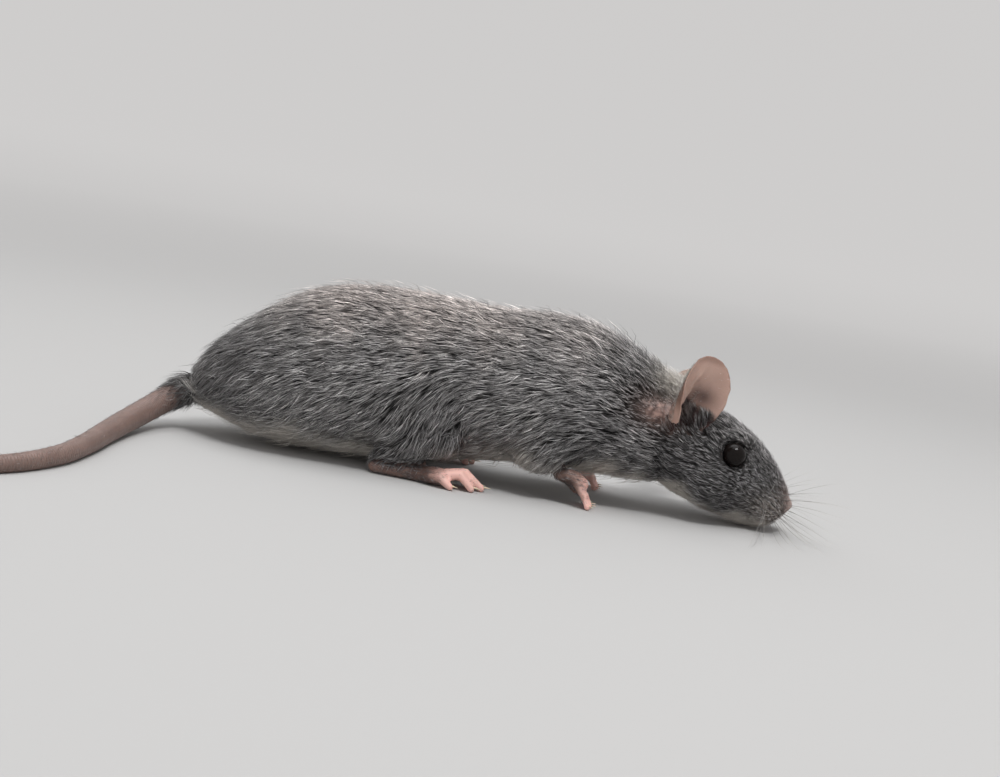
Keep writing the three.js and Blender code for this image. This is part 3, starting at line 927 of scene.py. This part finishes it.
def spikes(pick, rings, taper=0.25):
    # Three-sided closed spikes on a bent line from root to tip, with a ring at each share of the way.
    count = len(pick["width"])
    corners, along = [], []
    for share in rings:
        centre = ((1 - share) ** 2 * pick["roots"].T + 2 * share * (1 - share) * pick["bends"].T
                  + share ** 2 * pick["tips"].T).T
        ahead = unit(2 * (1 - share) * (pick["bends"] - pick["roots"])
                     + 2 * share * (pick["tips"] - pick["bends"]))
        across = unit(np.cross(pick["normals"], ahead))
        above = np.cross(ahead, across)
        half = (pick["width"] / 2 * (0.8 if share == 0 else 1.0) * (1 - taper * share))[:, None]
        corners += [centre + across * half, centre - across * half, centre + above * half * 0.8]
        along += [share] * 3
    corners.append(pick["tips"])
    along.append(1.0)
    each = len(corners)
    faces = [(0, 1, 2)]
    last = each - 4
    for first, second in ((0, 2), (2, 1), (1, 0)):
        for ring in range(0, last, 3):
            below, above = (ring + first, ring + second), (ring + 3 + first, ring + 3 + second)
            faces += [(*below, above[1]), (below[0], above[1], above[0])]
        faces.append((last + first, last + second, each - 1))
    triangles = np.array(faces)[None] + (np.arange(count) * each)[:, None, None]
    fields = {
        "along": np.tile(np.array(along), count),
        "aside": np.tile(np.array([-0.5, 0.5, 0.0] * len(rings) + [0.0]), count),
        "marks": np.repeat(pick["marks"], each, axis=0), "tone": np.repeat(pick["tone"], each),
        "uv": np.repeat(pick["uv"], each, axis=0),
    }
    return np.stack(corners, axis=1).reshape(-1, 3), triangles.reshape(-1, 3), fields


def tuftMesh(name, batches):
    points, triangles, fields = zip(*batches)
    starts = np.cumsum([0] + [len(part) for part in points[:-1]])
    triangles = np.vstack([part + start for part, start in zip(triangles, starts)]).astype(np.int32)
    fields = {key: np.concatenate([part[key] for part in fields]) for key in fields[0]}
    mesh = bpy.data.meshes.new(name)
    mesh.vertices.add(sum(len(part) for part in points))
    mesh.vertices.foreach_set("co", fromPlan(np.vstack(points)).astype(np.float32).ravel())
    mesh.loops.add(len(triangles) * 3)
    mesh.loops.foreach_set("vertex_index", triangles.ravel())
    mesh.polygons.add(len(triangles))
    mesh.polygons.foreach_set("loop_start", np.arange(len(triangles), dtype=np.int32) * 3)
    mesh.update(calc_edges=True)
    mesh.shade_smooth()
    addColour(mesh, "marks", fields["marks"].T)
    addColour(mesh, "strand", (fields["along"], fields["tone"]))
    patch = 0.003  # the size of a tuft on the skin's own unwrap
    uv = fields["uv"] + np.column_stack([fields["aside"], fields["along"] - 0.5]) * patch
    layer = mesh.uv_layers.new(name="OFBake")
    layer.data.foreach_set("uv", uv[triangles.ravel()].astype(np.float32).ravel())
    return mesh


def pickTufts(tufts, chosen):
    return {key: values[chosen] for key, values in tufts.items()}


coat = layCoat()
print("coat laid")

# kind of skin, its pieces from tail to nose, and their slot
coatPieces = [
    ("trunk", ["coat_rump", "coat_haunch", "coat_loin", "coat_ribs", "coat_shoulder"], "coat"),
    ("neck", ["coat_neck"], "neck_coat"),
    ("head", ["coat_crown", "coat_face"], "head_coat"),
    ("leg", ["coat_legs"], "leg_coat"),
    ("ear", ["hairs_ears"], "ear_skin"),
    ("foot", ["hairs_feet"], "foot_skin"),
    ("tail", ["hairs_tail"], "tail_skin"),
]


def groupTufts():
    kinds = np.argmax(coat["weights"], axis=1)
    for kind, names, slot in coatPieces:
        members = np.flatnonzero(kinds == kindIndex[kind])
        members = members[np.argsort(coat["roots"][members, 0])]
        for name, part in zip(names, np.array_split(members, len(names))):
            yield name, part, slot


def newMaterial(name, finish):
    material = bpy.data.materials.new(name)
    material.use_nodes = True
    tree = material.node_tree
    for key, value in finish.items():
        tree.nodes["Principled BSDF"].inputs[key].default_value = value
    return material, tree


def feed(tree, key, socket):
    tree.links.new(socket, tree.nodes["Principled BSDF"].inputs[key])


def node(tree, kind, **values):
    made = tree.nodes.new("ShaderNode" + kind)
    for key, value in values.items():
        if key.startswith("in_"):
            made.inputs[key[3:].replace("_", " ")].default_value = value
        else:
            setattr(made, key, value)
    return made


def plug(tree, socket, value):
    if isinstance(value, bpy.types.NodeSocket):
        tree.links.new(value, socket)
    else:
        socket.default_value = value


def mixColour(tree, share, first, second, mode="MIX"):
    made = node(tree, "Mix", data_type="RGBA", blend_type=mode)
    for index, value in ((0, share), (6, first), (7, second)):
        plug(tree, made.inputs[index], value)
    return made.outputs[2]


def mathNode(tree, operation, *values, clamp=False):
    made = node(tree, "Math", operation=operation, use_clamp=clamp)
    for socket, value in zip(made.inputs, values):
        plug(tree, socket, value)
    return made.outputs[0]


def attribute(tree, name):
    source = node(tree, "Attribute", attribute_name=name)
    split = node(tree, "SeparateColor")
    tree.links.new(source.outputs["Color"], split.inputs[0])
    return split.outputs[0], split.outputs[1], split.outputs[2], source.outputs["Alpha"]


def noise(tree, scale, detail=2.0):
    made = node(tree, "TexNoise", in_Scale=scale, in_Detail=detail)
    tree.links.new(node(tree, "TexCoord").outputs["Object"], made.inputs["Vector"])
    return made.outputs[0]


def easedRange(tree, value, low, high):
    made = node(tree, "MapRange", interpolation_type="SMOOTHSTEP", in_From_Min=low, in_From_Max=high)
    tree.links.new(value, made.inputs["Value"])
    return made.outputs[0]


def colour(red, green, blue):
    return (red, green, blue, 1.0)


coatColours = {
    "root": colour(0.022, 0.021, 0.021),
    "shaft": colour(0.052, 0.05, 0.05),
    "tip": colour(0.45, 0.437, 0.433),
    # cream hair's own pale colour, made paler still as painted light where the belly lies in shade
    "creamLitRoot": colour(0.44, 0.40, 0.355),
    "creamLitTip": colour(0.9, 0.855, 0.79),
    # tip under the warm mark: brownish, and paler as painted top light
    "warmTopLightTip": colour(0.72, 0.655, 0.625),
    "darkTip": colour(0.19, 0.186, 0.188),
    "skinTint": colour(0.27, 0.175, 0.15),
}


def coatMaterial():
    material, tree = newMaterial("coatHair", {"Roughness": 0.5, "Specular IOR Level": 0.35})
    along, tone, _, _ = attribute(tree, "strand")
    cream, warmTopLight, dark, bare = attribute(tree, "marks")
    # The warm mark paints a brownish tint and top light into the tips.
    tip = mixColour(tree, warmTopLight, coatColours["tip"], coatColours["warmTopLightTip"])
    tip = mixColour(tree, dark, tip, coatColours["darkTip"])
    bright = mathNode(tree, "MULTIPLY_ADD", mathNode(tree, "POWER", tone, 2.8), 3.4, 0.02)
    brightColour = node(tree, "CombineColor")
    for socket in brightColour.inputs:
        tree.links.new(bright, socket)
    tip = mixColour(tree, 1.0, tip, brightColour.outputs[0], "MULTIPLY")
    shaftShare = mathNode(tree, "MULTIPLY", along, 3.0, clamp=True)
    hair = mixColour(tree, shaftShare, coatColours["root"], coatColours["shaft"])
    hair = mixColour(tree, easedRange(tree, along, 0.2, 0.75), hair, tip)
    # Cream hair, paler than its own colour as painted light under the belly.
    pale = mixColour(tree, along, coatColours["creamLitRoot"], coatColours["creamLitTip"])
    hair = mixColour(tree, cream, hair, pale)
    hair = mixColour(tree, mathNode(tree, "MULTIPLY", bare, 0.7), hair, coatColours["skinTint"])
    feed(tree, "Base Color", hair)
    return material


skinColours = {
    "furred": (colour(0.035, 0.032, 0.031), colour(0.36, 0.32, 0.27)),  # under grey and cream hair
    # skin under the warm mark, paler as painted top light
    "warmTopLight": colour(0.06, 0.052, 0.046),
    # pairs go from the darker to the lighter blotches
    # bare skin, as behind the ears: its own brownish pink, with the darker colour as painted crease shade
    "fold": (colour(0.1, 0.055, 0.047), colour(0.34, 0.22, 0.185)),
    "ear": (colour(0.42, 0.27, 0.215), colour(0.58, 0.39, 0.325)),
    "earBack": colour(0.40, 0.32, 0.265),
    "earRim": colour(0.2, 0.115, 0.085),
    # painted shade of the ear canal and concha
    "earHollowShade": colour(0.04, 0.013, 0.012),
    "heel": (colour(0.1, 0.058, 0.048), colour(0.27, 0.165, 0.135)),
    "toes": (colour(0.76, 0.42, 0.36), colour(0.90, 0.59, 0.52)),
    "tail": (colour(0.15, 0.095, 0.08), colour(0.25, 0.17, 0.145)),
    "nose": (colour(0.2, 0.15, 0.13), colour(0.33, 0.26, 0.23)),
    "ringSpacing": 0.42,  # mm between the rings of the tail
}


def skinMaterial():
    material, tree = newMaterial("mouseSkin", {
        "Roughness": 0.52, "Subsurface Weight": 0.12, "Subsurface Radius": (1.0, 0.4, 0.25),
        "Subsurface Scale": 0.0006})
    cream, warmTopLight, _, bare = attribute(tree, "marks")
    ear, foot, tail, nose = attribute(tree, "parts")
    hollow, rim, toes, earBack = attribute(tree, "details")
    grain, blotch = noise(tree, 2600.0, 5.0), noise(tree, 420.0, 3.0)
    crease = easedRange(tree, blotch, 0.36, 0.6)
    # Dark wrinkle lines of painted crease shade on the bare skin, as behind the ears.
    wrinkleShade = mathNode(tree, "MULTIPLY_ADD", noise(tree, 1100.0), 3.2, -1.15, clamp=True)

    earColour = mixColour(tree, blotch, *skinColours["ear"])
    # The last of these paints shade into the ear's canal and concha.
    for share, tint in ((earBack, "earBack"), (rim, "earRim"), (hollow, "earHollowShade")):
        earColour = mixColour(tree, share, earColour, skinColours[tint])
    heelColour = mixColour(tree, crease, *skinColours["heel"])
    toeColour = mixColour(tree, blotch, *skinColours["toes"])
    base = mixColour(tree, cream, *skinColours["furred"])
    # painted top light, with its warm tint, on the skin of the back and crown
    base = mixColour(tree, warmTopLight, base, skinColours["warmTopLight"])
    base = mixColour(tree, bare, base, mixColour(tree, wrinkleShade, *skinColours["fold"]))
    base = mixColour(tree, ear, base, earColour)
    base = mixColour(tree, foot, base, mixColour(tree, toes, heelColour, toeColour))
    base = mixColour(tree, tail, base, mixColour(tree, blotch, *skinColours["tail"]))
    base = mixColour(tree, nose, base, mixColour(tree, crease, *skinColours["nose"]))
    feed(tree, "Base Color", base)

    run = node(tree, "Attribute", attribute_name="tailRun").outputs["Fac"]
    rings = mathNode(tree, "SINE", mathNode(tree, "MULTIPLY", run, 2 * math.pi / skinColours["ringSpacing"]))
    ringHeight = mathNode(tree, "MULTIPLY", mathNode(tree, "MULTIPLY", rings, 0.5), tail)
    relief = node(tree, "Bump", in_Strength=0.5, in_Distance=0.00012)
    tree.links.new(mathNode(tree, "ADD", mathNode(tree, "MULTIPLY", grain, 0.5), ringHeight),
                   relief.inputs["Height"])
    feed(tree, "Normal", relief.outputs[0])
    return material


def mottledMaterial(name, colours, scale, detail, finish):
    material, tree = newMaterial(name, finish)
    feed(tree, "Base Color", mixColour(tree, noise(tree, scale, detail), *colours))
    return material


hairLook = coatMaterial()
skinLook = skinMaterial()
eyeLook = mottledMaterial("eyeBlack", (colour(0.003, 0.003, 0.003), colour(0.012, 0.008, 0.007)),
                          scale=900.0, detail=2.0, finish={"Roughness": 0.04, "Specular IOR Level": 0.15})
skin.data.materials.append(skinLook)
print("skin and hair materials made")

for name, chosen, slot in groupTufts():
    guard = coat["guard"][chosen]
    batches = [spikes(pickTufts(coat, chosen[guard]), (0.0, 0.5)),
               spikes(pickTufts(coat, chosen[~guard]), (0.0,))]
    piece = linkObject(name, tuftMesh(name, batches))
    piece.data.materials.append(hairLook)
    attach(piece, "root")
    print(name, len(piece.data.polygons), "triangles")


whiskerPlan = {
    "rows": 6,
    "columns": 5,
    "length": (8.5, 15.0),
    "width": 0.11,
    "root": (41.6, -4.2, 4.2),
    "foremost": 56.5,  # no tip lies further forward or lower than these
    "lowest": 0.15,
    "rootColour": colour(0.16, 0.145, 0.135),
    "tipColour": colour(0.62, 0.6, 0.57),
    "seed": 11,
}


def whiskerStrands():
    rng = np.random.default_rng(whiskerPlan["seed"])
    roots, bends, tips, width = [], [], [], []
    shortest, longest = whiskerPlan["length"]
    x, y, z = whiskerPlan["root"]
    for side in sides.values():
        for row in range(whiskerPlan["rows"]):
            for column in range(whiskerPlan["columns"]):
                share = column / (whiskerPlan["columns"] - 1)
                root = np.array((x + 2.6 * share, side * (abs(y) - 1.5 * share), z + 0.55 * (row - 2.4)))
                yaw = math.radians(20 + 78 * (1 - share) + rng.normal(0, 7))
                pitch = math.radians(11 * (row - 2.9) - 4 + rng.normal(0, 4))
                reach = (0.35 + 0.65 * (1 - share)) * rng.uniform(0.75, 1.0)
                length = shortest + (longest - shortest) * reach
                ahead = np.array((math.cos(yaw) * math.cos(pitch), side * math.sin(yaw) * math.cos(pitch),
                                  math.sin(pitch)))
                tip = root + ahead * length
                tip[0] = min(tip[0] - 0.1 * length * (1 - share), whiskerPlan["foremost"])
                tip[2] = max(tip[2] - 0.06 * length, whiskerPlan["lowest"])
                roots.append(root)
                bends.append(root + ahead * length * 0.5 + np.array((0, 0, 0.5)))
                tips.append(tip)
                width.append(whiskerPlan["width"] * rng.uniform(0.7, 1.0))
    count = len(roots)
    tree = skinTree()
    normals = np.zeros((count, 3))
    for index in range(count):
        place, normal, _, _ = tree.find_nearest(Vector(roots[index]))
        normals[index] = np.array(normal)
        roots[index] = np.array(place) - normals[index] * 0.15
    return {
        "roots": np.array(roots), "normals": normals, "tips": np.array(tips), "bends": np.array(bends),
        "width": np.array(width), "marks": np.zeros((count, 4)), "tone": np.linspace(0.3, 0.9, count),
        "uv": np.full((count, 2), 0.5),
    }


def whiskerMaterial():
    material, tree = newMaterial("whiskerHair", {"Roughness": 0.35})
    along, _, _, _ = attribute(tree, "strand")
    feed(tree, "Base Color", mixColour(tree, along, whiskerPlan["rootColour"], whiskerPlan["tipColour"]))
    return material


whiskerRings = tuple(np.linspace(0, 0.93, 12))
whiskerMesh = tuftMesh("whiskers", [spikes(whiskerStrands(), whiskerRings, taper=0.8)])
whiskerPiece = linkObject("whiskers", whiskerMesh)
whiskerPiece.data.materials.append(whiskerMaterial())
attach(whiskerPiece, "root")
print("whiskers set")


clawPlan = {
    # step: how far ahead of the right foot the left one stands
    "hind": {"length": 0.52, "width": 0.36, "step": -2.2, "middle": (-7.5, -10.5), "tips": [
        (-5.0, -8.1, 0.7), (-0.8, -8.9, 0.75), (0.1, -10.4, 0.75), (-1.3, -12.0, 0.75), (-4.4, -13.2, 0.7)]},
    "fore": {"length": 0.45, "width": 0.3, "step": 1.8, "middle": (13.0, -8.2), "tips": [
        (15.4, -10.2, 0.65), (15.75, -8.9, 0.65), (15.75, -7.5, 0.65), (15.4, -6.2, 0.65)]},
}


def makeClaw(bm, tip, plan, side):
    # A horn drawn out in short steps, each one thinner and bent further down.
    middle = plan["middle"]
    heading = math.atan2(tip[1] - middle[1], tip[0] - middle[0]) * 0.8
    turn = Matrix.Rotation(heading * -side, 3, "Z") @ Matrix.Rotation(math.radians(90), 3, "Y")
    made = bmesh.ops.create_circle(bm, cap_ends=True, segments=10, radius=plan["width"] / 2 * mm)
    horn = list(made["verts"])
    face = horn[0].link_faces[0]
    steps = 6
    for _ in range(steps):
        made = bmesh.ops.extrude_face_region(bm, geom=[face])["geom"]
        ring = [item for item in made if isinstance(item, bmesh.types.BMVert)]
        face = next(item for item in made if isinstance(item, bmesh.types.BMFace))
        bmesh.ops.translate(bm, verts=ring, vec=(0.0, 0.0, plan["length"] / steps * mm))
        centre = sum((vertex.co for vertex in ring), Vector()) / len(ring)
        bmesh.ops.rotate(bm, verts=ring, cent=centre + Vector((plan["width"] * 2.2 * mm, 0, 0)),
                         matrix=Matrix.Rotation(math.radians(9), 3, "Y"))
        bmesh.ops.scale(bm, verts=ring, vec=(0.82,) * 3, space=Matrix.Translation(-centre))
        horn += ring
    bmesh.ops.rotate(bm, verts=horn, cent=(0, 0, 0), matrix=turn)
    x, y, z = tip
    bmesh.ops.translate(bm, verts=horn, vec=at(x + (plan["step"] if side > 0 else 0), side * abs(y), z))


clawLook = mottledMaterial("clawHorn", (colour(0.55, 0.44, 0.30), colour(0.80, 0.70, 0.55)),
                           scale=3200.0, detail=3.0,
                           finish={"Roughness": 0.3, "Subsurface Weight": 0.1, "Subsurface Scale": 0.0003})
for foot, plan in clawPlan.items():
    for sideName, side in sides.items():
        bm = bmesh.new()
        for tip in plan["tips"]:
            makeClaw(bm, tip, plan, side)
        bmesh.ops.recalc_face_normals(bm, faces=bm.faces)
        claws = linkObject(f"claws_{foot}_{sideName}", meshFromBmesh(f"claws_{foot}_{sideName}", bm))
        claws.data.materials.append(clawLook)
        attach(claws, "root")
print("claws set")


def makeEye(name, side):
    bm = bmesh.new()
    bmesh.ops.create_uvsphere(bm, u_segments=48, v_segments=32, radius=eyePlan["radius"] * mm)
    bmesh.ops.translate(bm, verts=bm.verts, vec=at(*eyeCentre(side)))
    piece = linkObject(name, meshFromBmesh(name, bm))
    piece.data.materials.append(eyeLook)
    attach(piece, "root")
    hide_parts(name.replace("eyeball", "eye"))


for sideName, side in sides.items():
    makeEye("eyeball_" + sideName, side)
print("eyes set")


cameraPlan = {
    "aim": (0.0, 0.0, 14.011),
    "distance": 210.0,
    "raised": 7.0,  # degrees above the level of the mouse
    "roll": 10.0,
    "focalPixels": 1398.6,
    "pictureWidth": 1000,
    "sensor": 36.0,
}


def makeCamera():
    camera = bpy.data.cameras.new("camera")
    camera.sensor_width = cameraPlan["sensor"]
    camera.sensor_fit = "HORIZONTAL"
    camera.lens = cameraPlan["focalPixels"] * cameraPlan["sensor"] / cameraPlan["pictureWidth"]
    camera.clip_start = 0.01
    camera.clip_end = 20
    tilt = Matrix.Rotation(math.radians(90 - cameraPlan["raised"]), 4, "X")
    turn = tilt @ Matrix.Rotation(math.radians(cameraPlan["roll"]), 4, "Z")
    holder = linkObject("camera", camera)
    back = Matrix.Translation(Vector((0, 0, cameraPlan["distance"])) * mm)
    holder.matrix_world = Matrix.Translation(at(*cameraPlan["aim"])) @ turn @ back
    bpy.context.scene.camera = holder


makeCamera()
print("camera placed")

stagePlan = {
    "floorRadius": 350.0,
    "coveRadius": 1800.0,
    "colour": colour(0.445, 0.44, 0.435),
    "wall": colour(0.61, 0.60, 0.595),
    "wallStart": 0.22,  # metres from the middle of the floor
    "wallEnd": 0.75,
}


def makeStage():
    # A pale floor whose edge sweeps up into a wall all round: half its profile, spun about Z.
    bm = bmesh.new()
    inner, cove = stagePlan["floorRadius"], stagePlan["coveRadius"]
    profile = [(inner * share, 0.0) for share in (0.0, 0.25, 0.6, 1.0)]
    for step in range(1, 13):
        angle = step / 12 * math.pi / 2
        profile.append((inner + cove * math.sin(angle), cove * (1 - math.cos(angle))))
    profile.append((inner + cove, cove * 1.3))
    line = [bm.verts.new(at(x, 0, z)) for x, z in profile]
    edges = [bm.edges.new(pair) for pair in zip(line, line[1:])]
    bmesh.ops.spin(bm, geom=line + edges, cent=at(0, 0, 0), axis=(0, 0, 1), angle=2 * math.pi, steps=64,
                   use_merge=True)
    bmesh.ops.remove_doubles(bm, verts=bm.verts, dist=1e-5)
    bmesh.ops.recalc_face_normals(bm, faces=bm.faces)
    if sum(face.normal.z for face in bm.faces) < 0:
        bmesh.ops.reverse_faces(bm, faces=bm.faces)
    floor = linkObject("studio_floor", meshFromBmesh("studio_floor", bm))
    material, tree = newMaterial("studioPaint", {
        "Roughness": 0.9, "Specular IOR Level": 0.1, "Emission Color": stagePlan["wall"]})
    # Far from the mouse the paint turns into a wall that glows evenly, as light as the floor.
    flat = node(tree, "VectorMath", operation="MULTIPLY")
    tree.links.new(node(tree, "TexCoord").outputs["Object"], flat.inputs[0])
    flat.inputs[1].default_value = (1.0, 1.0, 0.0)
    length = node(tree, "VectorMath", operation="LENGTH")
    tree.links.new(flat.outputs[0], length.inputs[0])
    far = easedRange(tree, length.outputs["Value"], stagePlan["wallStart"], stagePlan["wallEnd"])
    feed(tree, "Emission Strength", far)
    feed(tree, "Base Color", mixColour(tree, far, stagePlan["colour"], colour(0.0, 0.0, 0.0)))
    floor.data.materials.append(material)


lightPlan = {
    "overhead": {"place": (-40, 40, 620), "aim": (0, 0, 10), "size": 600, "power": 2.0},
    "catch": {"place": (90, -200, 520), "aim": (10, 0, 12), "size": 260, "depth": 100, "power": 1.42},
    "back": {"place": (-420, 420, 380), "aim": (0, 0, 15), "size": 400, "power": 0.3},
}


def makeLights():
    for name, plan in lightPlan.items():
        lamp = bpy.data.lights.new(name, "AREA")
        lamp.shape = "ELLIPSE"
        lamp.size = plan["size"] * mm
        lamp.size_y = plan.get("depth", plan["size"]) * mm
        lamp.energy = plan["power"]
        holder = linkObject(name, lamp)
        holder.location = at(*plan["place"])
        aim = at(*plan["aim"]) - at(*plan["place"])
        holder.rotation_euler = aim.to_track_quat("-Z", "Y").to_euler()
    world = bpy.data.worlds.new("studio")
    world.use_nodes = True
    backdrop = world.node_tree.nodes["Background"]
    backdrop.inputs["Color"].default_value = colour(0.95, 0.97, 1.0)
    backdrop.inputs["Strength"].default_value = 0.62
    bpy.context.scene.world = world
    bpy.context.scene.view_settings.view_transform = "Standard"


makeStage()
makeLights()
print("floor and lights ready")
